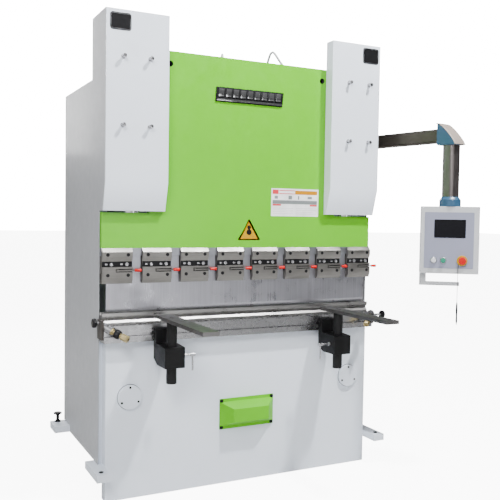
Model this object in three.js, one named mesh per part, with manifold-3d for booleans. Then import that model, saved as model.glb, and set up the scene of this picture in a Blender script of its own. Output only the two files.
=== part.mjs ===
// A hydraulic press brake for bending sheet metal, 1.55 m between the ends of its tools.
// Millimetres, +X to the operator's right, +Y to the rear, +Z up. The origin is on the
// floor at mid length, under the bending line. The ram rests at the bottom of its stroke.
import * as THREE from "three";
import { mergeVertices } from "three/addons/utils/BufferGeometryUtils.js";
import Module from "manifold-3d";

const wasm = await Module();
wasm.setup();

// ---------------------------------------------------------------- driving sizes
const FIT = 0.3; // gap between faces that touch
const RAM_LENGTH = 1550;
const RAM_THICK = 40;
const RAM_FRONT = -15;
const RAM_BOTTOM = 1190;
const SHOULDER_Z = 1400;
const RAM_TOP = 2198;
const RAM_SHOULDER = 237; // step in from each end above SHOULDER_Z
const LIFT_HOLE_R = 15;
const LIFT_HOLE_DEEP = 30;
const LIFT_HOLE_Z = 2135;
const LIFT_HOLE_XS = [-437, 443];
const STROKE = 100;
const RAM_CLEAR = 1; // ram to the guide faces of the side frames

const SHEET = 3;
const FRAME_THICK = 40;
const FRAME_BOTTOM = 174;
const FRAME_TOP = 2045;
const FRAME_REAR = 740;
const THROAT_BACK = 240;
const THROAT_TOP = 1240;
const COVER_REAR = 747;
const COVER_STEP_Y = 158;
const COVER_STEP_Z = 2050;
const COVER_TOP = 2346;
const COVER_FRONT = -82;
const COVER_CHAMFER_Y = -43;
const COVER_CHAMFER_Z = 1408;
const COVER_VERTICAL_Z = 1548;
const COVER_WIDTH = 313.5;
const COVER_PAST_RAM = 4.5;
const COVER_EDGE_Y = 11;
const REAR_FOOT_OUT = 80.5; // feet past the outer sheet
const FRONT_FOOT_OUT = 42.5;
const FOOT_THICK = 35;
const REAR_FOOT_LONG = 132;

const BED_SHORTER = 40; // than the ram
const BED_THICK = 60;
const BED_FRONT = -31;
const BED_TOP = 778.7;
const CAP_R = 60;
const CAP_PROUD = 14;
const CAP_INSET = 139; // cap centre in from the ram end
const CAP_Z = 504;
const GUARD_WIDTH = 314;
const GUARD_HEIGHT = 160;
const GUARD_DEPTH = 62;
const GUARD_Z = 365;
const GUARD_FLANGE = 3;

const RAIL_FRONT = -73;
const RAIL_BACK = 93;
const RAIL_TOP = 860;
const CHANNEL_DEPTH = 4.3;
const GROOVE_LOW = 808;
const GROOVE_HIGH = 822;
const GROOVE_DEPTH = 12;
const END_PLATE = 12;
const END_PLATE_TOP = 888;
const DIE_WIDTH = 60;
const RAIL_SHORT = 5; // at the right end
const DIE_SHORT_LEFT = 1; // die ends in from the ram ends
const DIE_SHORT_RIGHT = 10;

const CLAMPS = 8;
const CLAMP_WIDTH = 150;
const CLAMP_FRONT = -35;
const CLAMP_TOP = 1229;
const CLAMP_BOTTOM = 1058;
const TANG = 15;
const TANG_TALL = 46;
const TANG_CLEAR = 0.5;
const LEVER_Z = 1121;
const LEVER_INSET = 74; // pivot from the clamp end
const LEVER_TALL = 8;
const LEVER_SLOT = 12;
const SLEEVE_R = 8.5;
const SLEEVE_IN = 10; // sleeve ends from the clamps beside its gap
const SLEEVE_OUT = 6;
const STOP_CLEAR = 3;
const STOP_FRONT = -10;
const PUNCH_SHORT = 25; // at each end
const PUNCH_THICK = 20;
const PUNCH_TIP = 920;
const PUNCH_BEVEL_Z = 942;

const CYLINDER_INSET = 156.5; // from the outer sheet
const CYLINDER_Y = 5;
const CYLINDER_R = 75;
const CYLINDER_BOTTOM = 1520;
const CYLINDER_TOP = 2150;
const ROD_R = 40;
const ROD_CLEAR = 1;
const ROD_TOP = 1660;

const TANK_FRONT = 150;
const TANK_BACK = 520;
const TANK_BOTTOM = 1720;
const TANK_TOP = 2040;
const TANK_WALL = 5;
const HOSE_R = 7;
const HOSE_GAP = 1; // hose end to its fitting

const GAUGE_RAIL_Z = 880;
const GAUGE_RAIL_X = 450;
const GAUGE_RAIL_WIDE = 40;
const TIE_FRONT = 660;
const TIE_THICK = 30;
const TIE_TOP = 620;
const GUARD_SHEET_TOP = 1700; // rear guard sheet, with a window over the gauge
const WINDOW_LOW = 1010;
const WINDOW_HIGH = 1380;
const WINDOW_HALF = 680;

const SUPPORT_XS = { left: -480, right: 462 };
const POST_Y = -190;
const POST_R = 25;
const POST_CLEAR = 1;
const POST_BOTTOM = 590;
const ARM_WIDE = 77;
const ARM_THICK = 18;
const ARM_TOP = 905;
const ARM_FRONT = -655;
const ARM_BACK = -76;
const BLOCK_WIDE = 100;
const BLOCK_LOW = 670;
const BLOCK_HIGH = 768;
const SLIDE_GAP = 1.5;
const LOCK_Z = 722;
const LOCK_R = 5;

const PIVOT_OUT = 70.5; // from the outer sheet
const PIVOT_Y = 240;
const PIVOT_Z = 1837;
const BOOM_REACH = 699;
const BOOM_TURN = THREE.MathUtils.degToRad(11.1);
const BOOM_TALL = 73;
const BOOM_WIDE = 70;
const PIN_R = 12;
const ELBOW_START = 634;
const ELBOW_END = 752;
const DROP_WIDE = 76;
const PANEL_TURN = THREE.MathUtils.degToRad(-38);
const PANEL_WIDE = 300;
const PANEL_TALL = 354;
const PANEL_DEEP = 100;
const PANEL_TOP = 1460;
const SCREEN_WIDE = 151;
const SCREEN_TALL = 87;
const SCREEN_Z = 1343;
const BUTTON_Z = 1176;
const BUTTON_R = 13;
const BUTTON_TRAVEL = 4;
const RESET_X = -80;
const START_X = -31;
const ESTOP_X = 65;
const ESTOP_COLLAR = 6; // height of the ring round the emergency stop

// ---------------------------------------------------------------- materials
const paint = (color, roughness = 0.45) =>
  new THREE.MeshStandardMaterial({ color, roughness, metalness: 0 });
const metal = (color, roughness = 0.35) =>
  new THREE.MeshStandardMaterial({ color, roughness, metalness: 0.9 });

const COLOURS = {
  green: 0x8fd14f,
  white: 0xdfe3e8,
  grey: 0xc9ccd0,
  steel: 0xaeb2b8,
  dark: 0x1c1c1e,
  bronze: 0x5a5346,
  brass: 0xb59b55,
  red: 0xd3201f,
  teal: 0x2f5a6b,
  aluminium: 0x8b8a86,
  panel: 0xd9dbe0,
  glass: 0x141519,
  buttonGreen: 0x1b8f72,
};

// ---------------------------------------------------------------- solids
function solid(geometry) {
  const flat = geometry.index ? geometry.toNonIndexed() : geometry;
  const bare = new THREE.BufferGeometry();
  bare.setAttribute("position", flat.getAttribute("position"));
  const merged = mergeVertices(bare, 1e-3);
  return new wasm.Manifold(
    new wasm.Mesh({
      numProp: 3,
      vertProperties: merged.attributes.position.array,
      triVerts: new Uint32Array(merged.index.array),
    }),
  );
}

function geometryOf(made) {
  const mesh = made.getMesh();
  const geometry = new THREE.BufferGeometry();
  geometry.setAttribute("position", new THREE.BufferAttribute(mesh.vertProperties, 3));
  geometry.setIndex(new THREE.BufferAttribute(mesh.triVerts, 1));
  geometry.computeVertexNormals();
  return geometry;
}

const join = (...solids) => solids.reduce((all, next) => all.add(next));
const cut = (body, ...tools) => tools.reduce((left, tool) => left.subtract(tool), body);

// A box between two opposite corners.
function box(x0, x1, y0, y1, z0, z1) {
  const geometry = new THREE.BoxGeometry(x1 - x0, y1 - y0, z1 - z0);
  return solid(geometry.translate((x0 + x1) / 2, (y0 + y1) / 2, (z0 + z1) / 2));
}

// A flat outline pushed along one axis, from one station to the next.
const AXES = {
  x: [new THREE.Vector3(0, 1, 0), new THREE.Vector3(0, 0, 1), new THREE.Vector3(1, 0, 0)],
  y: [new THREE.Vector3(0, 0, 1), new THREE.Vector3(1, 0, 0), new THREE.Vector3(0, 1, 0)],
  z: [new THREE.Vector3(1, 0, 0), new THREE.Vector3(0, 1, 0), new THREE.Vector3(0, 0, 1)],
};

function prism(points, axis, from, to) {
  const shape = new THREE.Shape(points.map(([u, v]) => new THREE.Vector2(u, v)));
  const geometry = new THREE.ExtrudeGeometry(shape, { depth: to - from, bevelEnabled: false });
  const place = new THREE.Matrix4().makeBasis(...AXES[axis]);
  geometry.applyMatrix4(place);
  return solid(geometry.translate(...AXES[axis][2].clone().multiplyScalar(from).toArray()));
}

// A round bar along an axis, given the middle of its first face.
function bar(axis, [x, y, z], radius, length, sides = 24, endRadius = radius) {
  const geometry = new THREE.CylinderGeometry(endRadius, radius, length, sides);
  geometry.translate(0, length / 2, 0);
  if (axis === "x") geometry.rotateZ(-Math.PI / 2);
  if (axis === "z") geometry.rotateX(Math.PI / 2);
  return solid(geometry.translate(x, y, z));
}

function roundedOutline(wide, tall, radius, steps = 3) {
  const points = [];
  for (const [sx, sy, turn] of [[1, 1, 0], [-1, 1, 1], [-1, -1, 2], [1, -1, 3]])
    for (let i = 0; i <= steps; i++) {
      const a = ((turn + i / steps) * Math.PI) / 2;
      points.push([
        sx * (wide / 2 - radius) + radius * Math.cos(a),
        sy * (tall / 2 - radius) + radius * Math.sin(a),
      ]);
    }
  return points;
}

// A round tube along a smooth curve through points.
function tube(points, radius, sides, steps) {
  const route = new THREE.CatmullRomCurve3(points.map((p) => new THREE.Vector3(...p)));
  const ring = new THREE.Shape();
  for (let i = 0; i <= sides; i++) {
    const a = (i / sides) * 2 * Math.PI;
    ring[i ? "lineTo" : "moveTo"](radius * Math.cos(a), radius * Math.sin(a));
  }
  return solid(new THREE.ExtrudeGeometry(ring, { steps, extrudePath: route, bevelEnabled: false }));
}

function turned(points, sides = 24) {
  const profile = points.map(([r, z]) => new THREE.Vector2(r, z));
  return solid(new THREE.LatheGeometry(profile, sides).rotateX(Math.PI / 2));
}

// ---------------------------------------------------------------- the assembly
const machine = new THREE.Group();

function add(name, made, material, parent = machine) {
  const mesh = new THREE.Mesh(geometryOf(made), material);
  mesh.name = name;
  parent.add(mesh);
  return mesh;
}

function groupAt(x, y, z, parent = machine) {
  const group = new THREE.Group();
  group.position.set(x, y, z);
  parent.add(group);
  return group;
}

const SIDES = [["left", -1], ["right", 1]];
const spanX = (side, near, far) => (side < 0 ? [-far, -near] : [near, far]);

const sheetOuter = RAM_LENGTH / 2 + COVER_PAST_RAM;
const sheetInner = sheetOuter - SHEET;
const frameOuter = sheetInner - FIT;
const frameInner = frameOuter - FRAME_THICK;
const ramHalf = RAM_LENGTH / 2;
const ramBack = RAM_FRONT + RAM_THICK;
const bedBack = BED_FRONT + BED_THICK;
const bedHalf = (RAM_LENGTH - BED_SHORTER) / 2;
const clampPitch = (RAM_LENGTH - CLAMP_WIDTH) / (CLAMPS - 1);
const clampGap = clampPitch - CLAMP_WIDTH;
const leverPivot = CLAMP_WIDTH - LEVER_INSET;
const cylinderX = sheetOuter - CYLINDER_INSET;
const PIVOT = new THREE.Vector3(sheetOuter + PIVOT_OUT, PIVOT_Y, PIVOT_Z);

function sideFrame(side) {
  const profile = [
    [bedBack + FIT, FRAME_BOTTOM], [FRAME_REAR, FRAME_BOTTOM], [FRAME_REAR, FRAME_TOP],
    [ramBack + RAM_CLEAR, FRAME_TOP], [ramBack + RAM_CLEAR, THROAT_TOP],
    [THROAT_BACK - 40, THROAT_TOP], [THROAT_BACK, THROAT_TOP - 40],
    [THROAT_BACK, BED_TOP + 40], [THROAT_BACK - 40, BED_TOP], [bedBack + FIT, BED_TOP],
  ];
  const plate = prism(profile, "x", ...spanX(side, frameInner, frameOuter));
  const rearFoot = box(...spanX(side, frameOuter - 20, sheetOuter + REAR_FOOT_OUT),
    FRAME_REAR - REAR_FOOT_LONG, FRAME_REAR, FRAME_BOTTOM, FRAME_BOTTOM + FOOT_THICK);
  const frontFoot = box(...spanX(side, bedHalf + FIT, sheetOuter + FRONT_FOOT_OUT), -140, 90,
    FRAME_BOTTOM - FOOT_THICK, FRAME_BOTTOM + 0.5);
  return join(plate, rearFoot, frontFoot);
}

function sideCover(side) {
  const profile = [
    [COVER_EDGE_Y, FRAME_BOTTOM + 1], [600, FRAME_BOTTOM + 1], [600, 211], [COVER_REAR, 211],
    [COVER_REAR, COVER_STEP_Z], [COVER_STEP_Y, COVER_STEP_Z], [COVER_STEP_Y, COVER_TOP],
    [COVER_FRONT, COVER_TOP], [COVER_FRONT, COVER_VERTICAL_Z],
    [COVER_CHAMFER_Y, COVER_CHAMFER_Z], [COVER_EDGE_Y, COVER_CHAMFER_Z],
  ];
  return prism(profile, "x", ...spanX(side, sheetInner, sheetOuter));
}

// An open-backed sheet box over the cylinder, with a chamfered lower front.
function cylinderCover(side) {
  const lip = RAM_FRONT - SHEET;
  const outer = [
    [lip, COVER_CHAMFER_Z], [lip, COVER_TOP], [COVER_FRONT, COVER_TOP],
    [COVER_FRONT, COVER_VERTICAL_Z], [COVER_CHAMFER_Y, COVER_CHAMFER_Z],
  ];
  const inner = [
    [lip + 1, COVER_CHAMFER_Z - 1], [lip + 1, COVER_TOP - SHEET],
    [COVER_FRONT + SHEET, COVER_TOP - SHEET], [COVER_FRONT + SHEET, COVER_VERTICAL_Z + 0.4],
    [COVER_CHAMFER_Y + 2.8, COVER_CHAMFER_Z - 1],
  ];
  const near = sheetOuter - COVER_WIDTH;
  return cut(
    prism(outer, "x", ...spanX(side, near, frameOuter)),
    prism(inner, "x", ...spanX(side, near + SHEET, frameOuter + 1)),
  );
}

function bed() {
  const plate = box(-bedHalf, bedHalf, BED_FRONT, bedBack, 0, BED_TOP);
  const caps = SIDES.map(([, s]) =>
    bar("y", [s * (ramHalf - CAP_INSET), BED_FRONT - CAP_PROUD, CAP_Z], CAP_R, CAP_PROUD + 1, 40));
  return join(plate, ...caps);
}

// The lower rear plate ties the side frames, stands on the floor and carries the gauge rails
// and a guard sheet.
function rearTie() {
  const half = frameInner - FIT;
  const foot = half - 196;
  const back = TIE_FRONT + TIE_THICK;
  const profile = [
    [0, -foot], [0, foot], [180, foot], [180, half], [TIE_TOP, half],
    [TIE_TOP, GAUGE_RAIL_X + 60], [GAUGE_RAIL_Z, GAUGE_RAIL_X + 60],
    [GAUGE_RAIL_Z, -GAUGE_RAIL_X - 60], [TIE_TOP, -GAUGE_RAIL_X - 60], [TIE_TOP, -half],
    [180, -half], [180, -foot],
  ];
  const plate = prism(profile, "y", TIE_FRONT, back);
  const rails = SIDES.map(([, s]) =>
    box(s * GAUGE_RAIL_X - GAUGE_RAIL_WIDE / 2, s * GAUGE_RAIL_X + GAUGE_RAIL_WIDE / 2,
      160, TIE_FRONT + 5, GAUGE_RAIL_Z - 40, GAUGE_RAIL_Z));
  const sheet = box(-half, half, back - SHEET, back, TIE_TOP - 1, GUARD_SHEET_TOP);
  const window = box(-WINDOW_HALF, WINDOW_HALF, back - SHEET - 1, back + 1, WINDOW_LOW, WINDOW_HIGH);
  return join(plate, ...rails, cut(sheet, window));
}

function backGauge() {
  const low = GAUGE_RAIL_Z + 0.5;
  const beam = box(-600, 600, 420, 470, low, low + 45);
  const fingers = SIDES.map(([, s]) => box(s * 250 - 20, s * 250 + 20, 300, 425, low + 30, low + 44));
  return join(beam, ...fingers);
}

// The box-shaped guard over the bed's middle: a flange with a sloped raised face.
function apronGuard() {
  const flange = box(-GUARD_WIDTH / 2, GUARD_WIDTH / 2, -GUARD_FLANGE, 0,
    -GUARD_HEIGHT / 2, GUARD_HEIGHT / 2);
  const base = { x: GUARD_WIDTH / 2 - 1, z: GUARD_HEIGHT / 2 - 16 };
  const face = { x: 100, z: 35 };
  const corners = [];
  for (const [half, y] of [[base, -GUARD_FLANGE + 1], [face, -GUARD_DEPTH]])
    corners.push([-half.x, y, -half.z], [half.x, y, -half.z], [half.x, y, half.z], [-half.x, y, half.z]);
  const quads = [[0, 3, 2, 1], [4, 5, 6, 7], [0, 1, 5, 4], [1, 2, 6, 5], [2, 3, 7, 6], [3, 0, 4, 7]];
  const index = quads.flatMap(([a, b, c, d]) => [a, b, c, a, c, d]);
  const raised = new THREE.BufferGeometry();
  raised.setAttribute("position", new THREE.Float32BufferAttribute(corners.flat(), 3));
  raised.setIndex(index);
  return join(flange, solid(raised));
}

function tableRail() {
  const top = RAIL_TOP;
  const profile = [
    [RAIL_FRONT, BED_TOP + FIT], [RAIL_BACK, BED_TOP + FIT], [RAIL_BACK, top],
    [DIE_WIDTH / 2 + FIT, top], [DIE_WIDTH / 2 + FIT, top - CHANNEL_DEPTH],
    [-DIE_WIDTH / 2 - FIT, top - CHANNEL_DEPTH], [-DIE_WIDTH / 2 - FIT, top], [RAIL_FRONT, top],
    [RAIL_FRONT, GROOVE_HIGH], [RAIL_FRONT + GROOVE_DEPTH, GROOVE_HIGH],
    [RAIL_FRONT + GROOVE_DEPTH, GROOVE_LOW], [RAIL_FRONT, GROOVE_LOW],
  ];
  const half = ramHalf;
  const rail = prism(profile, "x", -half, half - RAIL_SHORT);
  const plates = SIDES.map(([, s]) => {
    const end = s < 0 ? half : half - RAIL_SHORT;
    return box(...spanX(s, end - 1, end + END_PLATE), -70, 8, 795, s < 0 ? END_PLATE_TOP : RAIL_TOP - 1);
  });
  const bosses = SIDES.map(([, s]) => clampAxis(s, bar("z", [0, 0, -22], 20, 22 + CLAMP_STAND, 16)));
  return join(rail, ...plates, ...bosses);
}

// The clamp screws lean out of the rail's front corners, inwards and down.
const CLAMP_FOOT = new THREE.Vector3(ramHalf - 19, RAIL_FRONT, RAIL_TOP - 13);
const CLAMP_LEAN = new THREE.Vector3(-0.68, -0.62, -0.39).normalize();
const CLAMP_STAND = 21;

function clampFrame(side) {
  const lean = new THREE.Vector3(CLAMP_LEAN.x * side, CLAMP_LEAN.y, CLAMP_LEAN.z);
  const turn = new THREE.Quaternion().setFromUnitVectors(new THREE.Vector3(0, 0, 1), lean);
  const foot = new THREE.Vector3(CLAMP_FOOT.x * side, CLAMP_FOOT.y, CLAMP_FOOT.z);
  return new THREE.Matrix4().compose(foot, turn, new THREE.Vector3(1, 1, 1));
}

const clampAxis = (side, made) => made.transform(clampFrame(side).elements);

function clampScrew() {
  const profile = [
    [0, 0], [16, 0], [16, 8], [11, 10], [11, 15], [21, 19], [23, 25],
    [23, 39], [20, 45], [13, 47], [13, 54], [0, 54],
  ];
  const body = turned(profile.map(([r, z]) => [r, z + CLAMP_STAND + FIT]));
  const head = bar("z", [0, 0, CLAMP_STAND + 53], 17, 40, 6);
  const socket = bar("z", [0, 0, CLAMP_STAND + 82], 8, 12, 6);
  return cut(join(body, head), socket);
}

function endKnob(stem) {
  return turned([
    [0, 0], [7, 0], [7, stem], [20, stem], [23, stem + 4], [23, stem + 16], [20, stem + 20],
    [0, stem + 20],
  ]);
}

// Four V grooves, one in each face, of different openings.
function die() {
  const half = DIE_WIDTH / 2;
  const low = RAIL_TOP - CHANNEL_DEPTH + FIT;
  const middle = low + half;
  const high = low + DIE_WIDTH;
  const profile = [
    [-half, low], [-20, low], [0, low + 18], [20, low], [half, low],
    [half, middle - 12], [half - 11, middle], [half, middle + 12],
    [half, high], [12, high], [0, high - 12], [-12, high], [-half, high],
    [-half, middle + 16], [-half + 14, middle], [-half, middle - 16],
  ];
  return prism(profile, "x", -ramHalf + DIE_SHORT_LEFT, ramHalf - DIE_SHORT_RIGHT);
}

// The T-shaped ram, with a stop block between each pair of clamps.
function ram() {
  const half = ramHalf;
  const upper = half - RAM_SHOULDER;
  const profile = [
    [RAM_BOTTOM, -half], [RAM_BOTTOM, half], [SHOULDER_Z, half], [SHOULDER_Z, upper],
    [RAM_TOP, upper], [RAM_TOP, -upper], [SHOULDER_Z, -upper], [SHOULDER_Z, -half],
  ];
  const plate = prism(profile, "y", RAM_FRONT, ramBack);
  const holes = LIFT_HOLE_XS.map((x) =>
    bar("y", [x, RAM_FRONT - 1, LIFT_HOLE_Z], LIFT_HOLE_R, LIFT_HOLE_DEEP + 1, 20));
  const stops = [];
  for (let i = 1; i < CLAMPS; i++) {
    const next = -half + i * clampPitch;
    const last = next - clampPitch + CLAMP_WIDTH;
    stops.push(box(last + STOP_CLEAR, next - STOP_CLEAR, STOP_FRONT, ramBack - 5,
      CLAMP_BOTTOM + TANG_TALL + FIT, RAM_BOTTOM + 1));
  }
  return cut(join(plate, ...stops), ...holes);
}

// The lower end of each clamp grips the punch tang from below the ram.
function toolClamp(width) {
  const slot = TANG / 2 + TANG_CLEAR;
  const profile = [
    [RAM_FRONT - FIT, CLAMP_TOP], [CLAMP_FRONT + 15, CLAMP_TOP], [CLAMP_FRONT, CLAMP_TOP - 19],
    [CLAMP_FRONT, 1186], [CLAMP_FRONT + 10, 1165], [CLAMP_FRONT + 13, 1165],
    [CLAMP_FRONT + 13, 1138], [CLAMP_FRONT, 1138], [CLAMP_FRONT, 1081],
    [CLAMP_FRONT + 10, CLAMP_BOTTOM], [-slot, CLAMP_BOTTOM], [-slot, CLAMP_BOTTOM + TANG_TALL + 1],
    [slot, CLAMP_BOTTOM + TANG_TALL + 1], [slot, CLAMP_BOTTOM], [ramBack, CLAMP_BOTTOM],
    [ramBack, RAM_BOTTOM - FIT], [RAM_FRONT - FIT, RAM_BOTTOM - FIT],
  ];
  const recess = box(leverPivot - 8, width + 1, CLAMP_FRONT - 1, CLAMP_FRONT + 8.5,
    LEVER_Z - LEVER_SLOT / 2, LEVER_Z + LEVER_SLOT / 2);
  return cut(prism(profile, "x", 0, width), recess);
}

// A flat lever with its eye at the pivot and a round sleeve in the gap between two clamps.
function clampLever() {
  const half = 3.2;
  const start = LEVER_INSET + SLEEVE_IN;
  const end = LEVER_INSET + clampGap - SLEEVE_OUT;
  const flat = prism(
    [[-half, 0], [-half * 0.7, -half * 0.7], [0, -half], [start + 2, -half],
      [start + 2, half], [0, half], [-half * 0.7, half * 0.7]],
    "z", -LEVER_TALL / 2, LEVER_TALL / 2);
  const sleeve = bar("x", [start, 0, 0], SLEEVE_R - 1.5, end - start, 16, SLEEVE_R);
  return join(flat, sleeve);
}

function punch() {
  const half = PUNCH_THICK / 2;
  const shoulder = CLAMP_BOTTOM - FIT;
  const profile = [
    [0, PUNCH_TIP], [half, PUNCH_BEVEL_Z], [half, shoulder], [TANG / 2, shoulder],
    [TANG / 2, CLAMP_BOTTOM + TANG_TALL], [-TANG / 2, CLAMP_BOTTOM + TANG_TALL], [-TANG / 2, shoulder],
    [-half, shoulder], [-half, PUNCH_BEVEL_Z],
  ];
  return prism(profile, "x", PUNCH_SHORT - ramHalf, ramHalf - PUNCH_SHORT);
}

function hydraulicCylinder(side) {
  const x = side * cylinderX;
  const barrel = bar("z", [x, CYLINDER_Y, CYLINDER_BOTTOM], CYLINDER_R, CYLINDER_TOP - CYLINDER_BOTTOM, 40);
  const flange = box(...spanX(side, cylinderX - CYLINDER_R - 2, frameInner - FIT), -65, 160,
    CYLINDER_BOTTOM, CYLINDER_BOTTOM + 50);
  const port = bar("z", [x, CYLINDER_Y, CYLINDER_TOP - 1], 16, 25, 16);
  const bore = bar("z", [x, CYLINDER_Y, CYLINDER_BOTTOM - 1], ROD_R + ROD_CLEAR,
    ROD_TOP + STROKE + 40 - CYLINDER_BOTTOM, 40);
  return cut(join(barrel, flange, port), bore);
}

function pistonRod(side) {
  return bar("z", [side * cylinderX, CYLINDER_Y, SHOULDER_Z + FIT], ROD_R, ROD_TOP - SHOULDER_Z - FIT, 40);
}

// The tank is welded up between the side frames and carries the valve block on top.
function oilTank() {
  const half = frameInner - FIT;
  const wall = TANK_WALL;
  const tank = box(-half, half, TANK_FRONT, TANK_BACK, TANK_BOTTOM, TANK_TOP);
  const inside = box(-half + wall, half - wall, TANK_FRONT + wall, TANK_BACK - wall,
    TANK_BOTTOM + wall, TANK_TOP - wall);
  const filler = bar("z", [-600, 230, TANK_TOP - wall - 1], 30, wall + 2, 24);
  const valves = box(-130, 330, 225, 305, TANK_TOP - 1, TANK_TOP + 60);
  return join(cut(tank, inside, filler), valves);
}

function pumpMotor() {
  const y = 420;
  const z = TANK_TOP + 100;
  const motor = bar("x", [-420, y, z], 80, 240, 32);
  const pump = bar("x", [-181, y, z], 50, 110, 24);
  const feet = box(-400, -200, y - 60, y + 60, TANK_TOP + FIT, z - 30);
  return join(motor, pump, feet);
}

function hose(side) {
  const from = side < 0 ? -40 : 232;
  const top = side < 0 ? 2264 : 2312;
  const port = CYLINDER_TOP + 24 + HOSE_GAP;
  const width = side * 28;
  return tube(
    [
      [from, 265, TANK_TOP + 60 + HOSE_GAP], [from, 265, TANK_TOP + 100],
      [from + width * 0.1, 240, top - 70],
      [from + width * 0.6, 205, top], [from + width * 1.7, 165, top - 60],
      [from + side * 90, 130, top - 130], [side * 380, 105, 2165], [side * 500, 90, 2185],
      [side * 590, 50, 2235], [side * (cylinderX - 4), CYLINDER_Y + 8, 2232],
      [side * cylinderX, CYLINDER_Y, 2200], [side * cylinderX, CYLINDER_Y, port],
    ],
    HOSE_R, 8, 56);
}

// ---------------------------------------------------------------- sheet supports
// A carriage hooks into the rail's front groove and holds the post of a support arm.
function carriage() {
  const back = RAIL_FRONT - SLIDE_GAP;
  const half = BLOCK_WIDE / 2;
  const body = prism(
    [[back, BLOCK_LOW + 25], [back, 842], [back - 32, 842], [back - 38, BLOCK_HIGH + 6],
      [POST_Y - 48, BLOCK_HIGH], [POST_Y - 48, BLOCK_LOW], [back - 50, BLOCK_LOW]],
    "x", -half, half);
  const tongue = box(-half + 5, half - 5, back - 1, back + 8,
    GROOVE_LOW + SLIDE_GAP, GROOVE_HIGH - SLIDE_GAP);
  const bore = bar("z", [0, POST_Y, BLOCK_LOW - 1], POST_R + POST_CLEAR, 200, 32);
  return cut(join(body, tongue), bore);
}

function supportArm() {
  const low = ARM_TOP - ARM_THICK;
  const post = bar("z", [0, POST_Y, POST_BOTTOM], POST_R, low + 1 - POST_BOTTOM, 32);
  return join(post, box(-ARM_WIDE / 2, ARM_WIDE / 2, ARM_FRONT, ARM_BACK, low, ARM_TOP));
}

// A screw with a tommy bar that pinches the post. Its axis is the group's X axis.
function lockScrew() {
  const start = BLOCK_WIDE / 2 + FIT;
  const rod = bar("x", [start, 0, 0], LOCK_R, 62, 16);
  const collar = bar("x", [start, 0, 0], 9, 8, 16);
  const hub = bar("x", [start + 46, 0, 0], 8, 24, 16);
  const handle = bar("z", [start + 58, 0, -78], 4.5, 78, 12);
  return join(rod, collar, hub, handle);
}

// ---------------------------------------------------------------- control pendant
function boomBracket() {
  const { x, y, z } = PIVOT;
  const top = BOOM_TALL / 2 + 2;
  const plate = box(sheetOuter + FIT, sheetOuter + 14, y - 55, y + 55, z - 80, z + 80);
  const lug = (low) => join(
    box(sheetOuter + 12, x, y - 35, y + 35, low, low + 14), bar("z", [x, y, low], 35, 14, 32));
  const pin = bar("z", [x, y, z - top - 5], PIN_R, 2 * top + 10, 24);
  return join(plate, lug(z + top), lug(z - top - 14), pin);
}

function boomTube() {
  const outline = roundedOutline(BOOM_WIDE, BOOM_TALL, 12);
  const beam = prism(outline.map(([u, v]) => [v, u]), "y", -ELBOW_START + FIT, 32);
  return cut(beam, bar("z", [0, 0, -BOOM_TALL], PIN_R + 1, 2 * BOOM_TALL, 24));
}

// A wedge-shaped casting turns the boom down into the drop tube.
function boomElbow() {
  const low = -54;
  const profile = [
    [-ELBOW_START, low + 6], [-ELBOW_START, 62], [-ELBOW_START - 12, 60], [-ELBOW_START - 62, 18],
    [-ELBOW_START - 100, -24], [-ELBOW_END, low + 8], [-ELBOW_END, low], [-ELBOW_START - 6, low],
  ];
  return prism(profile, "x", -45, 45);
}

function dropTube() {
  const top = PIVOT.z - 54 - FIT;
  const low = PANEL_TOP + FIT;
  const square = prism(roundedOutline(DROP_WIDE, DROP_WIDE, 22), "z", low + 40, top);
  const collar = bar("z", [0, 0, low], 56, 36, 32);
  const cone = bar("z", [0, 0, low + 36], 54, 14, 32, 44);
  return join(square, collar, cone);
}

function pendantBox() {
  const half = PANEL_WIDE / 2;
  const front = -PANEL_DEEP / 2;
  const low = PANEL_TOP - PANEL_TALL;
  const shell = box(-half, half, front, -front, low, PANEL_TOP);
  const screenBed = box(-SCREEN_WIDE / 2 - FIT, SCREEN_WIDE / 2 + FIT, front - 1, front + 4,
    SCREEN_Z - SCREEN_TALL / 2 - FIT, SCREEN_Z + SCREEN_TALL / 2 + FIT);
  const wells = [RESET_X, START_X].map((x) => bar("y", [x, front - 1, BUTTON_Z], 7, 24, 16));
  const collar = bar("y", [ESTOP_X, front - ESTOP_COLLAR, BUTTON_Z], 24, ESTOP_COLLAR + 1, 32);
  const well = bar("y", [ESTOP_X, front - 7, BUTTON_Z], 10, 30, 16);
  const inside = box(-half + SHEET, half - SHEET, front + 10, -front - SHEET,
    low + SHEET, PANEL_TOP - SHEET);
  return cut(join(shell, collar), inside, screenBed, well, ...wells);
}

function button() {
  const stem = bar("y", [0, 0, 0], 6, 12, 16);
  const cap = bar("y", [0, -7, 0], BUTTON_R, 7.5, 24);
  return join(stem, cap);
}

function emergencyStop() {
  const stem = bar("y", [0, -9, 0], 8, 25, 16);
  const mushroom = bar("y", [0, -26, 0], 17, 10, 24, 20);
  const skirt = bar("y", [0, -16.5, 0], 20, 8, 24, 13);
  const neck = bar("y", [0, -9, 0], 12, 9 - ESTOP_COLLAR, 16);
  return join(stem, mushroom, skirt, neck);
}

function pendantHandle() {
  const low = PANEL_TOP - PANEL_TALL - FIT;
  const left = -PANEL_WIDE / 2;
  return join(
    box(left, left + 35, -10, 10, low - 66, low),
    box(left, left + 208, -12, 12, low - 66, low - 46));
}

// The stylus hangs by its cord from the emergency stop's collar.
const CORD = [
  [47, -53, 1156], [46.6, -54.5, 1151], [46, -56, 1144], [45.4, -57, 1135], [45, -57.6, 1124],
  [44.8, -58, 1112], [44.6, -58, 1100], [44.5, -58, 1088], [44.4, -58, 1075], [44.4, -58, 1062],
  [44.4, -58, 1048], [44.4, -58, 1034], [44.4, -58, 1020], [44.4, -58, 1004], [44.4, -58, 988],
  [44.4, -58, 972], [44.4, -58, 958.5],
];

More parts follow.
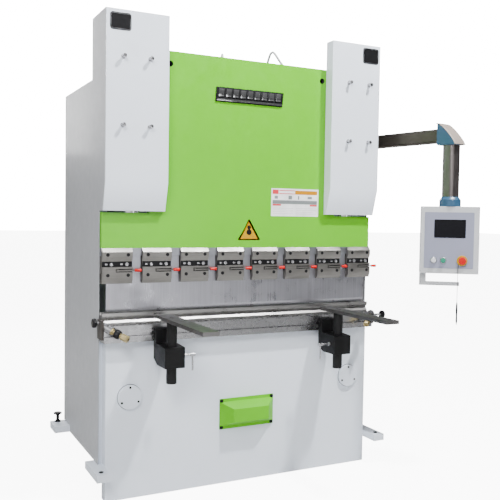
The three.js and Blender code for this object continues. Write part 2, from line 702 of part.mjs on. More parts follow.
function stylus() {
  return turned([[0, 0], [1.5, 4], [5, 22], [4.2, 50], [5.2, 80], [4.5, 112], [2, 122], [0, 122]], 16);
}

// ---------------------------------------------------------------- putting it together
function buildStructure() {
  add("bed_plate", bed(), paint(COLOURS.white));
  add("rear_tie_plate", rearTie(), paint(COLOURS.grey));
  for (const [side, s] of SIDES) {
    add("side_frame_" + side, sideFrame(s), paint(COLOURS.white));
    add("side_cover_" + side, sideCover(s), paint(COLOURS.grey));
    add("cylinder_cover_" + side, cylinderCover(s), paint(COLOURS.white));
    add("cylinder_" + side, hydraulicCylinder(s), paint(COLOURS.grey));
    add("hose_" + side, hose(s), paint(COLOURS.grey, 0.6));
  }
  add("oil_tank", oilTank(), paint(COLOURS.white));
  add("pump_motor", pumpMotor(), paint(COLOURS.dark));
  add("back_gauge", backGauge(), metal(COLOURS.steel));
  const guard = add("apron_guard", apronGuard(), paint(COLOURS.green));
  guard.position.set(3, BED_FRONT - FIT, GUARD_Z);
}

function buildTable() {
  add("table_rail", tableRail(), metal(COLOURS.steel));
  add("v_die", die(), metal(COLOURS.steel));
  const stems = { left: 12, right: 60 };
  const places = {
    left: [-ramHalf - END_PLATE - FIT, -20, 872],
    right: [ramHalf - RAIL_SHORT + END_PLATE + FIT, -55, 843],
  };
  for (const [side, s] of SIDES) {
    const knob = add("end_knob_" + side, endKnob(stems[side]), metal(COLOURS.dark));
    knob.position.set(...places[side]);
    knob.rotation.y = (s * Math.PI) / 2;
    const screw = add("clamp_screw_" + side, clampScrew(), metal(COLOURS.brass));
    clampFrame(s).decompose(screw.position, screw.quaternion, screw.scale);
  }
}

function buildRam() {
  add("ram", ram(), paint(COLOURS.green));
  add("punch", punch(), metal(COLOURS.steel));
  for (const [side, s] of SIDES) add("piston_rod_" + side, pistonRod(s), metal(COLOURS.steel, 0.15));
  for (let i = 0; i < CLAMPS; i++) {
    const seat = groupAt(-ramHalf + i * clampPitch, 0, 0);
    add("tool_clamp_" + (i + 1), toolClamp(CLAMP_WIDTH), metal(COLOURS.steel), seat);
    const pivot = groupAt(leverPivot, CLAMP_FRONT + 4, LEVER_Z, seat);
    add("clamp_lever_" + (i + 1), clampLever(), metal(COLOURS.red), pivot);
  }
}

function buildSupports() {
  for (const [side, s] of SIDES) {
    const seat = groupAt(SUPPORT_XS[side], 0, 0);
    add("support_carriage_" + side, carriage(), paint(COLOURS.dark), seat);
    add("support_arm_" + side, supportArm(), metal(COLOURS.dark), seat);
    const screw = groupAt(0, POST_Y, LOCK_Z, seat);
    if (s > 0) screw.rotation.z = Math.PI;
    add("lock_screw_" + side, lockScrew(), metal(COLOURS.steel), screw);
  }
}

function buildPendant() {
  add("boom_bracket", boomBracket(), paint(COLOURS.teal));
  const boom = groupAt(PIVOT.x, PIVOT.y, PIVOT.z);
  boom.rotation.z = BOOM_TURN;
  add("boom_tube", boomTube(), metal(COLOURS.aluminium), boom);
  add("boom_elbow", boomElbow(), paint(COLOURS.teal), boom);
  const drop = groupAt(0, -BOOM_REACH, -PIVOT.z, boom);
  add("drop_tube", dropTube(), metal(COLOURS.aluminium), drop);
  const swivel = groupAt(0, 0, 0, drop);
  swivel.rotation.z = PANEL_TURN - BOOM_TURN;
  add("pendant_box", pendantBox(), paint(COLOURS.panel), swivel);
  add("pendant_handle", pendantHandle(), paint(COLOURS.panel), swivel);
  const front = -PANEL_DEEP / 2;
  const screen = box(-SCREEN_WIDE / 2, SCREEN_WIDE / 2, front - 0.5, front + 4 - FIT,
    SCREEN_Z - SCREEN_TALL / 2, SCREEN_Z + SCREEN_TALL / 2);
  add("touch_screen", screen, paint(COLOURS.glass, 0.1), swivel);
  const pushes = [["reset_button", RESET_X, COLOURS.panel], ["start_button", START_X, COLOURS.buttonGreen]];
  for (const [name, x, colour] of pushes)
    add(name, button(), paint(colour), groupAt(x, front - BUTTON_TRAVEL - 1, BUTTON_Z, swivel));
  add("estop_knob", emergencyStop(), paint(COLOURS.red), groupAt(ESTOP_X, front - 7, BUTTON_Z, swivel));
  add("stylus_cord", tube(CORD, 1.5, 8, 40), paint(COLOURS.dark), swivel);
  const [x, y, z] = CORD[CORD.length - 1];
  add("stylus", stylus(), paint(COLOURS.dark), groupAt(x, y, z - 122 - FIT, swivel));
}

buildStructure();
buildTable();
buildRam();
buildSupports();
buildPendant();

export default machine;
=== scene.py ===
import math

import bmesh
import bpy
from mathutils import Matrix, Vector


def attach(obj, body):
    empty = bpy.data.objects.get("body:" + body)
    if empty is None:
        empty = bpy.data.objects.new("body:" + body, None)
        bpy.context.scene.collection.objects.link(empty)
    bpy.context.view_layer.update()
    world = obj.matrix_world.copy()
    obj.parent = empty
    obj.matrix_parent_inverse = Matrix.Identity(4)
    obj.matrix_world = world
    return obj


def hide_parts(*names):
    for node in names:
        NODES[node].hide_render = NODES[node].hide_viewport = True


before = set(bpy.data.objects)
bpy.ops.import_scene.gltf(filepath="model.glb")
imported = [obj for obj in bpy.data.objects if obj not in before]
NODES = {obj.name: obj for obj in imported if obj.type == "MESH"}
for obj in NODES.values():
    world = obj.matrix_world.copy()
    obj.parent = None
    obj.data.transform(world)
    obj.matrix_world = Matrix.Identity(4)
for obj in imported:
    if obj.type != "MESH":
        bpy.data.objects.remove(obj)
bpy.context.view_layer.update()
MM = 0.001
SIDES = (("left", -1), ("right", 1))

# ------------------------------------------------------------------ camera
YAW, PITCH, ROLL = (math.radians(a) for a in (26.80, 2.573, 0.896))
CAMERA_PLACE = (-1.6953, -3.4058, 1.3858)
FOCAL = 52.13


def make_camera():
    """The camera of the rest view."""
    data = bpy.data.cameras.new("camera")
    data.lens = FOCAL
    data.sensor_width = 36.0
    data.clip_end = 200.0
    cam = bpy.data.objects.new("camera", data)
    bpy.context.scene.collection.objects.link(cam)
    forward = Vector((math.sin(YAW) * math.cos(PITCH), math.cos(YAW) * math.cos(PITCH), -math.sin(PITCH)))
    right = Vector((math.cos(YAW), -math.sin(YAW), 0.0))
    up = right.cross(forward)
    turned_right = right * math.cos(ROLL) + up * math.sin(ROLL)
    turned_up = up * math.cos(ROLL) - right * math.sin(ROLL)
    turn = Matrix((turned_right, turned_up, -forward)).transposed().to_4x4()
    cam.matrix_world = Matrix.Translation(CAMERA_PLACE) @ turn
    bpy.context.scene.camera = cam


make_camera()

# ------------------------------------------------------------------ places that repeat part.mjs, in mm
BOOM_PIVOT = Vector((850, 240, 1837))
BOOM_TURN = math.radians(11.1)
BOOM_REACH = 699
PANEL_TURN = math.radians(-38)
PANEL_FRONT = -50
BUTTON_X = (-80, -31)
BUTTON_Z = 1176
ESTOP_X = 65
RAM_HALF = 775
RAM_FRONT = -15
CLAMP_PITCH, CLAMP_WIDE, CLAMP_FRONT = 200, 150, -35
LEVER_Z, LEVER_PIVOT = 1121, 76
COVER_FRONT = -82
BED_FRONT = -31
CAP_X, CAP_Z, CAP_PROUD = 636, 504, 14
FOOT_BOLT_REAR = (822, 718, 209)
FOOT_NUT_FRONT = (792, -100, 174.5)
GUARD_X, GUARD_Z = 3, 365
POST_Y = -190
SUPPORT_X = {"left": -480, "right": 462}
ARM_TOP = 905
TANK_TOP, TANK_BACK = 2040, 520
TIE_BACK = 690
LIFTING_HOLES = (-437, 443)
LIFTING_Z, LIFTING_R = 2135, 14.6
GREEN_FROM = 1229
POST_TOP = 886.5
DROP_COLLAR_TOP = 1511.5
RAIL_MIDDLE, RAIL_GROUND_HALF = -2.5, 772.9
CORD_THICK = 3
CORD = (
    (47, -53, 1156), (46.6, -54.5, 1151), (46, -56, 1144), (45.4, -57, 1135), (45, -57.6, 1124),
    (44.8, -58, 1112), (44.6, -58, 1100), (44.5, -58, 1088), (44.4, -58, 1075), (44.4, -58, 1062),
    (44.4, -58, 1048), (44.4, -58, 1034), (44.4, -58, 1020), (44.4, -58, 1004), (44.4, -58, 988),
    (44.4, -58, 972), (44.4, -58, 958.5),
)

BOOM = Matrix.Translation(BOOM_PIVOT * MM) @ Matrix.Rotation(BOOM_TURN, 4, "Z")
DROP = BOOM @ Matrix.Translation(Vector((0, -BOOM_REACH, -BOOM_PIVOT.z)) * MM)
PENDANT = DROP @ Matrix.Rotation(PANEL_TURN - BOOM_TURN, 4, "Z")


# ------------------------------------------------------------------ procedural materials
class Look:
    """A Principled material whose colour, roughness and relief come from noise in object space."""

    def __init__(self, name, metallic=0.0, coat=0.0, specular=0.5, aniso=0.0):
        self.material = bpy.data.materials.new(name)
        self.material.use_nodes = True
        self.tree = self.material.node_tree
        self.shader = self.tree.nodes["Principled BSDF"]
        self.set(self.shader, "Metallic", metallic)
        self.set(self.shader, "Coat Weight", coat)
        self.set(self.shader, "Coat Roughness", 0.12)
        self.set(self.shader, "Specular IOR Level", specular)
        self.set(self.shader, "Anisotropic", aniso)
        self.coords = self.tree.nodes.new("ShaderNodeTexCoord").outputs["Object"]

    @staticmethod
    def set(node, socket, value):
        node.inputs[socket].default_value = value

    def link(self, output, node, socket):
        self.tree.links.new(output, node.inputs[socket])

    def noise(self, scale, detail=3.0, stretch=(1, 1, 1), rough=0.55, warp=0.0):
        mapping = self.tree.nodes.new("ShaderNodeMapping")
        mapping.inputs["Scale"].default_value = stretch
        self.link(self.coords, mapping, "Vector")
        node = self.tree.nodes.new("ShaderNodeTexNoise")
        values = {"Scale": scale, "Detail": detail, "Roughness": rough, "Distortion": warp}
        for socket, value in values.items():
            self.set(node, socket, value)
        self.link(mapping.outputs["Vector"], node, "Vector")
        return node.outputs["Fac"]

    def spread(self, value, low, high, to_low, to_high):
        node = self.tree.nodes.new("ShaderNodeMapRange")
        values = {"From Min": low, "From Max": high, "To Min": to_low, "To Max": to_high}
        for socket, number in values.items():
            self.set(node, socket, number)
        self.link(value, node, "Value")
        return node.outputs["Result"]

    def axis(self, name):
        node = self.tree.nodes.new("ShaderNodeSeparateXYZ")
        self.link(self.coords, node, "Vector")
        return node.outputs[name]

    def maths(self, operation, value, other):
        node = self.tree.nodes.new("ShaderNodeMath")
        node.operation = operation
        for i, v in enumerate((value, other)):
            if isinstance(v, (int, float)):
                node.inputs[i].default_value = v
            else:
                self.tree.links.new(v, node.inputs[i])
        return node.outputs["Value"]

    def mix(self, factor, one, two):
        node = self.tree.nodes.new("ShaderNodeMix")
        node.data_type = "RGBA"
        self.link(factor, node, "Factor")
        for socket, value in ((node.inputs[6], one), (node.inputs[7], two)):
            if isinstance(value, tuple):
                socket.default_value = (*value, 1.0)
            else:
                self.tree.links.new(value, socket)
        return node.outputs[2]

    def colour(self, value):
        self.link(value, self.shader, "Base Color")

    def roughness(self, value):
        self.link(value, self.shader, "Roughness")

    def relief(self, *layers):
        """Bump from (height, strength, distance) layers, the first one lowest."""
        below = None
        for height, strength, distance in layers:
            node = self.tree.nodes.new("ShaderNodeBump")
            self.set(node, "Strength", strength)
            self.set(node, "Distance", distance)
            self.link(height, node, "Height")
            if below:
                self.link(below, node, "Normal")
            below = node.outputs["Normal"]
        self.link(below, self.shader, "Normal")


def shade(colour, by):
    """A colour made darker or lighter by a factor."""
    return tuple(min(1.0, c * by) for c in colour)


def paint(name, colour, rough=0.38, coat=0.15, grime=0.06, peel=0.10, specular=0.5):
    """Sprayed coat: slow drift of tone, faint grime, orange peel."""
    look = Look(name, coat=coat, specular=specular)
    drift = look.spread(look.noise(1.6, 4.0), 0.35, 0.65, 0.0, 1.0)
    tone = look.mix(drift, shade(colour, 0.965), shade(colour, 1.02))
    smudge = look.spread(look.noise(9.0, 6.0, warp=0.6), 0.56, 0.78, 0.0, grime)
    look.colour(look.mix(smudge, tone, shade(colour, 0.45)))
    look.roughness(look.spread(look.noise(22.0, 5.0), 0.3, 0.7, rough - 0.06, rough + 0.08))
    look.relief((look.noise(3.0, 2.0), 0.05, 0.004), (look.noise(480.0, 2.0), peel, 0.0004))
    return look


def steel(name, colour, rough=0.28, lay=(3, 260, 260), aniso=0.4, stain=0.25, scratch=0.12):
    """Ground or brushed steel: fine lines along one direction and darker stains."""
    look = Look(name, metallic=1.0, aniso=aniso)
    lines = look.noise(1.0, 5.0, stretch=lay, rough=0.7)
    tone = look.mix(look.spread(lines, 0.3, 0.7, 0.0, 1.0), shade(colour, 0.86), shade(colour, 1.10))
    cloud = look.spread(look.noise(5.0, 6.0, warp=0.8), 0.52, 0.75, 0.0, stain)
    look.colour(look.mix(cloud, tone, shade(colour, 0.45)))
    uneven = look.spread(look.noise(14.0, 5.0), 0.3, 0.7, -0.06, 0.10)
    fine = look.spread(lines, 0.3, 0.7, rough - 0.05, rough + 0.08)
    look.roughness(look.maths("ADD", fine, uneven))
    look.relief((lines, scratch, 0.0004), (look.noise(9.0, 3.0, warp=0.5), 0.04, 0.0006))
    return look


def plastic(name, colour, rough=0.32, grain=0.06, specular=0.5):
    """Moulded or printed surface: slight drift of tone and a fine grain."""
    look = Look(name, specular=specular)
    look.colour(look.mix(look.spread(look.noise(18.0, 3.0), 0.3, 0.7, 0.0, 1.0), shade(colour, 0.9),
                         shade(colour, 1.1)))
    look.roughness(look.spread(look.noise(70.0, 4.0), 0.3, 0.7, rough - 0.05, rough + 0.07))
    look.relief((look.noise(900.0, 2.0), grain, 0.0003))
    return look


def masked(name, mask_of, first, second, metallic, specular=0.5):
    """Two finishes on one node, split where mask_of(look) turns from 0 to 1.
    Each finish is (colour, roughness); metallic gives (first, second)."""
    look = Look(name, specular=specular)
    mask = mask_of(look)
    grain = look.spread(look.noise(1.6, 4.0), 0.35, 0.65, 0.0, 1.0)
    lines = look.noise(1.0, 5.0, stretch=(1, 110, 110), rough=0.7)
    tones = [look.mix(grain, shade(c, 0.95), shade(c, 1.03)) for c, _ in (first, second)]
    look.colour(look.mix(mask, *tones))
    rough = [look.spread(look.noise(22.0, 5.0), 0.3, 0.7, r - 0.05, r + 0.08) for _, r in (first, second)]
    blend = look.tree.nodes.new("ShaderNodeMix")
    look.link(mask, blend, "Factor")
    look.tree.links.new(rough[0], blend.inputs[2])
    look.tree.links.new(rough[1], blend.inputs[3])
    look.roughness(blend.outputs[0])
    look.link(look.spread(mask, 0.0, 1.0, *metallic), look.shader, "Metallic")
    look.relief((lines, 0.02, 0.0003))
    return look


WHITE = (0.70, 0.75, 0.83)
GREEN = (0.105, 0.45, 0.0)
GREY = (0.36, 0.37, 0.39)
TEAL = (0.018, 0.070, 0.135)
ALUMINIUM = (0.165, 0.148, 0.145)
STEEL = (0.30, 0.30, 0.31)
BLACK = (0.004, 0.004, 0.0045)
LEVEL_BLEND, PLANE_BLEND = 0.0006, 0.0003  # half the width over which two finishes meet

LOOKS = {
    "white": paint("white_coat", WHITE, rough=0.42),
    "green": paint("green_coat", GREEN, rough=0.42, coat=0.0, specular=0.2),
    "grey": paint("grey_coat", GREY, rough=0.45),
    "motor": paint("machine_grey", (0.10, 0.11, 0.12), rough=0.5),
    "teal": paint("teal_coat", TEAL, rough=0.4),
    "pendant": paint("pendant_coat", (0.47, 0.48, 0.50), rough=0.4, grime=0.02),
    "panel": paint("panel_foil", (0.235, 0.245, 0.325), rough=0.5, coat=0.0, grime=0.0, specular=0.3),
    "black": paint("black_coat", BLACK, rough=0.5, coat=0.0, grime=0.0, specular=0.18),
    "bronze": paint("bronze_coat", (0.030, 0.027, 0.024), rough=0.5, coat=0.0, specular=0.35),
    "table": steel("ground_rail", STEEL, rough=0.24, lay=(1, 120, 120), stain=0.1, scratch=0.04),
    "punch": steel("ground_punch", (0.40, 0.40, 0.44), rough=0.30, lay=(160, 160, 2), stain=0.1,
                   scratch=0.05),
    "die": steel("ground_die", (0.30, 0.295, 0.29), rough=0.30, lay=(2, 300, 300)),
    "clamp": steel("ground_clamp", (0.23, 0.222, 0.21), rough=0.36, lay=(6, 320, 320), stain=0.12),
    "zinc": steel("zinc_plate", (0.50, 0.50, 0.52), rough=0.26, lay=(40, 40, 40), stain=0.05),
    "chrome": steel("hard_chrome", (0.78, 0.79, 0.81), rough=0.10, lay=(3, 3, 90), stain=0.0, scratch=0.03),
    "aluminium": steel("anodised", ALUMINIUM, rough=0.40, lay=(200, 4, 200), stain=0.05),
    "boom": steel("anodised_boom", (0.085, 0.075, 0.062), rough=0.42, lay=(200, 4, 200), stain=0.05),
    "brass": steel("turned_brass", (0.42, 0.34, 0.17), rough=0.34, lay=(120, 120, 120), stain=0.4),
    "rubber": plastic("hose_sleeve", (0.42, 0.43, 0.44), rough=0.6, grain=0.2),
    # Also the colour of the dark pieces painted as shade in the lever slots, round the disc caps and in the
    # lifting holes.
    "dark": plastic("dark_plastic_and_painted_shade", (0.005, 0.005, 0.006), rough=0.42, specular=0.18),
    "screen": plastic("screen_glass", (0.004, 0.004, 0.006), rough=0.16, grain=0.0, specular=0.25),
    "white_plastic": plastic("white_plastic", (0.66, 0.67, 0.72), rough=0.28),
    "green_plastic": plastic("green_plastic", (0.010, 0.23, 0.14), rough=0.28),
    "red": plastic("red_plastic", (0.50, 0.004, 0.003), rough=0.30, specular=0.25),
    "yellow": plastic("yellow_plastic", (0.46, 0.25, 0.0), rough=0.5, specular=0.12),
    "orange": plastic("orange_print", (0.46, 0.19, 0.0), rough=0.5, specular=0.12),
    "print_white": plastic("label_film", (0.80, 0.80, 0.80), rough=0.45),
    "print_grey": plastic("grey_print", (0.16, 0.18, 0.18), rough=0.5),
    "print_pale": plastic("pale_print", (0.56, 0.56, 0.57), rough=0.5),
    "tan": paint("tan_coat", (0.25, 0.21, 0.18), rough=0.5, coat=0.0),
    "print_red": plastic("red_print", (0.62, 0.03, 0.04), rough=0.5),
}


def above(axis, level):
    """A mask that is 0 below a level (mm) on an axis and 1 above it."""
    low, high = level * MM - LEVEL_BLEND, level * MM + LEVEL_BLEND
    return lambda look: look.spread(look.axis(axis), low, high, 0.0, 1.0)


def beyond(middle, half):
    """A mask that is 1 further than half (mm) from the plane x = middle."""
    def mask(look):
        away = look.maths("ABSOLUTE", look.maths("SUBTRACT", look.axis("X"), middle * MM), 0.0)
        return look.spread(away, half * MM - PLANE_BLEND, half * MM + PLANE_BLEND, 0.0, 1.0)
    return mask


LOOKS["ram"] = masked("green_coat_on_steel", above("Z", GREEN_FROM), ((0.36, 0.37, 0.41), 0.38),
                      (GREEN, 0.34), (1.0, 0.0))
LOOKS["rail"] = masked("ground_rail_ends", beyond(RAIL_MIDDLE, RAIL_GROUND_HALF), (STEEL, 0.26),
                       ((0.045, 0.040, 0.035), 0.5), (1.0, 0.35))
LOOKS["support"] = masked("steel_arm_black_post", above("Z", POST_TOP), (BLACK, 0.5),
                          ((0.16, 0.155, 0.155), 0.36), (0.0, 1.0), specular=0.25)
LOOKS["drop"] = masked("anodised_and_teal", above("Z", DROP_COLLAR_TOP), (TEAL, 0.38), (ALUMINIUM, 0.42),
                       (0.0, 1.0))


# ------------------------------------------------------------------ building pieces
def bm_to(name, bm, looks, body, smooth=35.0, replaces=()):
    """Makes an object of a bmesh (mm), rides it on a body and gives it its looks."""
    bmesh.ops.remove_doubles(bm, verts=bm.verts, dist=1e-4)
    bmesh.ops.recalc_face_normals(bm, faces=bm.faces)
    mesh = bpy.data.meshes.new(name)
    bm.transform(Matrix.Scale(MM, 4))
    bm.to_mesh(mesh)
    bm.free()
    for key in looks:
        mesh.materials.append(LOOKS[key].material)
    mesh.shade_smooth()
    mesh.set_sharp_from_angle(angle=math.radians(smooth))
    obj = bpy.data.objects.new(name, mesh)
    bpy.context.scene.collection.objects.link(obj)
    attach(obj, body)
    if replaces:
        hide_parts(*replaces)
    return obj


def mm(matrix):
    """A metre-space placement as one for millimetre meshes."""
    scaled = matrix.copy()
    scaled.translation = matrix.translation / MM
    return scaled


def block(bm, low, high, bevel=0.0, place=None, index=0):
    """A box between two corners, its edges rounded by bevel."""
    low, high = Vector(low), Vector(high)
    stretch = Matrix.Diagonal((*(high - low), 1))
    made = bmesh.ops.create_cube(bm, size=1.0)["verts"]
    bmesh.ops.transform(bm, verts=made, matrix=Matrix.Translation((low + high) / 2) @ stretch)
    verts = made
    if bevel:
        edges = list({e for v in made for e in v.link_edges})
        result = bmesh.ops.bevel(bm, geom=made + edges, offset=bevel, segments=2, affect="EDGES",
                                 profile=0.5)
        verts = [v for v in result["verts"] if v.is_valid]
        verts = list({v for f in result["faces"] if f.is_valid for v in f.verts} | set(verts))
    faces = {f for v in verts for f in v.link_faces}
    for face in faces:
        face.material_index = index
    if place:
        bmesh.ops.transform(bm, verts=list({v for f in faces for v in f.verts}), matrix=place)


def lathe(bm, profile, place, sides=32, index=0, flutes=0, depth=0.0, ring=False):
    """Turns (radius, height) points round local Z. Flutes scallop the widest points, and ring
    closes the profile on itself in place of the two end faces."""
    widest = max(r for r, _ in profile)
    rings = []
    for r, z in profile:
        points = []
        for i in range(sides):
            a = 2 * math.pi * i / sides
            dip = depth * (0.5 - 0.5 * math.cos(flutes * a)) if flutes and r > widest - 3 * depth else 0.0
            points.append(bm.verts.new(place @ Vector(((r - dip) * math.cos(a), (r - dip) * math.sin(a), z))))
        rings.append(points)
    pairs = list(zip(rings, rings[1:]))
    if ring:
        pairs.append((rings[-1], rings[0]))
    for low, high in pairs:
        for i in range(sides):
            j = (i + 1) % sides
            bm.faces.new((low[i], low[j], high[j], high[i])).material_index = index
    if not ring:
        bm.faces.new(list(reversed(rings[0]))).material_index = index
        bm.faces.new(rings[-1]).material_index = index


def facing(x, y, z, towards):
    """A placement whose local Z points towards a direction."""
    turn = Vector((0, 0, 1)).rotation_difference(Vector(towards).normalized())
    return Matrix.Translation((x, y, z)) @ turn.to_matrix().to_4x4()


def socket_bolt(bm, place, radius, height, index=0, hole=0.5):
    """A cap screw: chamfered round head with a hexagon socket."""
    c = radius * 0.12
    lathe(bm, [(radius, -1.0), (radius, height - c), (radius - c, height), (radius * 0.62, height)],
          place, 24, index)
    deep = height * 0.4
    wide = radius * hole
    socket = [(wide, height + 0.02), (wide, height - deep), (radius * 0.2, height - deep - 0.5)]
    lathe(bm, socket, place, 6, index)


def hex_nut(bm, place, radius, height, index=0):
    """A hexagon with both faces chamfered."""
    c = radius * 0.14
    lathe(bm, [(radius - c, 0), (radius, c), (radius, height - c), (radius - c, height)], place, 6, index)


def outline_plate(bm, points, y0, y1, index=0, place=None, bevel=0.0):
    """A flat plate in the XZ plane between two Y stations."""
    place = place or Matrix.Identity(4)
    front = [bm.verts.new(place @ Vector((x, y0, z))) for x, z in points]
    back = [bm.verts.new(place @ Vector((x, y1, z))) for x, z in points]
    faces = [bm.faces.new(front), bm.faces.new(list(reversed(back)))]
    for i in range(len(points)):
        j = (i + 1) % len(points)
        faces.append(bm.faces.new((front[j], front[i], back[i], back[j])))
    for face in faces:
        face.material_index = index
    if bevel:
        bmesh.ops.bevel(bm, geom=faces[0].edges[:], offset=bevel, segments=2, affect="EDGES", profile=0.5)


def frame_plate(bm, outer, inner, y0, y1, index=0, place=None):
    """A flat plate in the XZ plane with one opening; both outlines have as many points."""
    place = place or Matrix.Identity(4)
    rows = [[bm.verts.new(place @ Vector((x, y, z))) for x, z in line]
            for line, y in ((outer, y0), (inner, y0), (inner, y1), (outer, y1))]
    count = len(outer)
    for one, two in zip(rows, rows[1:] + rows[:1]):
        for i in range(count):
            j = (i + 1) % count
            bm.faces.new((one[i], one[j], two[j], two[i])).material_index = index


def rounded(x0, x1, z0, z1, radius, steps=6):
    """The outline of a rectangle with round corners."""
    points = []
    for cx, cz, quarter in ((x1, z1, 0), (x0, z1, 1), (x0, z0, 2), (x1, z0, 3)):
        sx, sz = (-1 if cx == x1 else 1), (-1 if cz == z1 else 1)
        for i in range(steps + 1):
            a = (quarter + i / steps) * math.pi / 2
            points.append((cx + sx * radius + radius * math.cos(a), cz + sz * radius + radius * math.sin(a)))
    return points


# ------------------------------------------------------------------ the stylus cord
def stylus_cord():
    curve = bpy.data.curves.new("stylus_lead", "CURVE")
    curve.dimensions = "3D"
    curve.bevel_depth = CORD_THICK / 2 * MM
    curve.bevel_resolution = 4
    curve.use_fill_caps = True
    spline = curve.splines.new("POLY")
    spline.points.add(len(CORD) - 1)
    points = [PENDANT @ (Vector(p) * MM) for p in CORD]
    for target, p in zip(spline.points, points):
        target.co = (*p, 1.0)
    curve.materials.append(LOOKS["dark"].material)
    cord = bpy.data.objects.new("stylus_lead", curve)
    bpy.context.scene.collection.objects.link(cord)
    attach(cord, "pendant")
    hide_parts("stylus_cord")


stylus_cord()


# ------------------------------------------------------------------ finish on the CAD nodes
SHARP_ANGLE, BEVEL_ANGLE = 38, 34


def soften_group():
    """Geometry nodes that drop stored normals and smooth every edge under a set angle."""
    group = bpy.data.node_groups.new("soften", "GeometryNodeTree")
    group.interface.new_socket("Geometry", in_out="INPUT", socket_type="NodeSocketGeometry")
    group.interface.new_socket("Geometry", in_out="OUTPUT", socket_type="NodeSocketGeometry")
    nodes, links = group.nodes, group.links
    start, end = nodes.new("NodeGroupInput"), nodes.new("NodeGroupOutput")
    drop = nodes.new("GeometryNodeRemoveAttribute")
    drop.inputs["Name"].default_value = "custom_normal"
    smooth = nodes.new("GeometryNodeSetShadeSmooth")
    smooth.inputs["Shade Smooth"].default_value = True
    sharp = nodes.new("GeometryNodeSetShadeSmooth")
    sharp.domain = "EDGE"
    sharp.inputs["Shade Smooth"].default_value = False
    angle = nodes.new("GeometryNodeInputMeshEdgeAngle")
    compare = nodes.new("FunctionNodeCompare")
    compare.operation = "GREATER_THAN"
    compare.inputs[1].default_value = math.radians(SHARP_ANGLE)
    links.new(angle.outputs["Unsigned Angle"], compare.inputs[0])
    links.new(start.outputs[0], drop.inputs[0])
    links.new(drop.outputs[0], smooth.inputs["Geometry"])
    links.new(smooth.outputs[0], sharp.inputs["Geometry"])
    links.new(compare.outputs["Result"], sharp.inputs["Selection"])
    links.new(sharp.outputs[0], end.inputs[0])
    return group


SOFTEN = soften_group()


def dress(node, look, bevel):
    """Gives a CAD node its material, and breaks its sharp edges with modifiers."""
    obj = NODES[node]
    material = LOOKS[look].material
    if obj.material_slots:
        for held in obj.material_slots:
            held.material = material
    else:
        obj.data.materials.append(material)
    weld = obj.modifiers.new("weld", "WELD")
    weld.merge_threshold = 1e-6
    if bevel:
        round_off = obj.modifiers.new("round_off", "BEVEL")
        round_off.width = bevel * MM
        round_off.segments = 2
        round_off.limit_method = "ANGLE"
        round_off.angle_limit = math.radians(BEVEL_ANGLE)
        round_off.harden_normals = False
        round_off.miter_outer = "MITER_ARC"
    obj.modifiers.new("soften", "NODES").node_group = SOFTEN
    even = obj.modifiers.new("even", "WEIGHTED_NORMAL")
    even.keep_sharp = True
    even.weight = 100


for node, look, bevel in (
    ("bed_plate", "white", 1.2), ("rear_tie_plate", "grey", 1.2), ("oil_tank", "white", 2.0),
    ("pump_motor", "motor", 2.5), ("back_gauge", "table", 1.0), ("apron_guard", "green", 1.6),
    ("ram", "ram", 0.9), ("table_rail", "rail", 0.8), ("v_die", "die", 0.5), ("punch", "punch", 0.4),
    ("boom_bracket", "teal", 2.0), ("boom_tube", "boom", 0.0), ("boom_elbow", "teal", 5.0),
    ("drop_tube", "drop", 1.5), ("pendant_box", "pendant", 3.0), ("pendant_handle", "pendant", 1.5),
    ("touch_screen", "screen", 0.2), ("reset_button", "white_plastic", 1.5),
    ("start_button", "green_plastic", 1.5), ("estop_knob", "red", 2.0), ("stylus", "dark", 0.0),
):
    dress(node, look, bevel)
for side, _ in SIDES:
    for stem, look, bevel in (
        ("side_frame_", "white", 1.2), ("side_cover_", "grey", 0.7), ("cylinder_cover_", "white", 1.4),
        ("cylinder_", "motor", 1.5), ("hose_", "rubber", 0.0), ("piston_rod_", "chrome", 1.0),
        ("support_carriage_", "black", 1.6), ("support_arm_", "support", 1.0), ("lock_screw_", "zinc", 0.8),
        ("end_knob_", "dark", 0.8), ("clamp_screw_", "brass", 0.8),
    ):
        dress(stem + side, look, bevel)
for i in range(1, 9):
    dress("tool_clamp_%d" % i, "clamp", 0.7)
    dress("clamp_lever_%d" % i, "red", 0.4)


# ------------------------------------------------------------------ covers, bed and feet
FRONT = (0, -1, 0)
STUDS = (
    (-694, 2129), (-561, 2129), (-695, 1810), (-561, 1810),
    (573, 2129), (706, 2127), (574, 1811), (706, 1811),
)
NAME_PLATES = (("left", -759, -657, 2249, 2329), ("right", 662, 766, 2245, 2329))


def cover_details():
    """Standoff studs and a blank plate with a rim on each cylinder cover."""
    bm = bmesh.new()
    for x, z in STUDS:
        place = facing(x, COVER_FRONT, z, FRONT)
        lathe(bm, [(11, -0.5), (11, 1.5), (10.4, 2.2), (7.5, 2.2)], place, 28)
        lathe(bm, [(7, 2), (7, 18), (9.6, 18), (10, 19), (10, 25), (9, 27), (5, 28), (1, 28.2)], place, 28)
    bm_to("cover_studs", bm, ("zinc",), "frame")
    for side, x0, x1, z0, z1 in NAME_PLATES:
        bm = bmesh.new()
        outline_plate(bm, rounded(x0, x1, z0, z1, 13), COVER_FRONT - 1.8, COVER_FRONT - 0.1)
        bm_to("name_plate_" + side, bm, ("dark",), "frame")
        bm = bmesh.new()
        outer = rounded(x0 + 4, x1 - 4, z0 + 4, z1 - 4, 10)
        inner = rounded(x0 + 6, x1 - 6, z0 + 6, z1 - 6, 8)
        frame_plate(bm, outer, inner, COVER_FRONT - 2.3, COVER_FRONT - 1.7)
        bm_to("name_plate_rim_" + side, bm, ("zinc",), "frame")


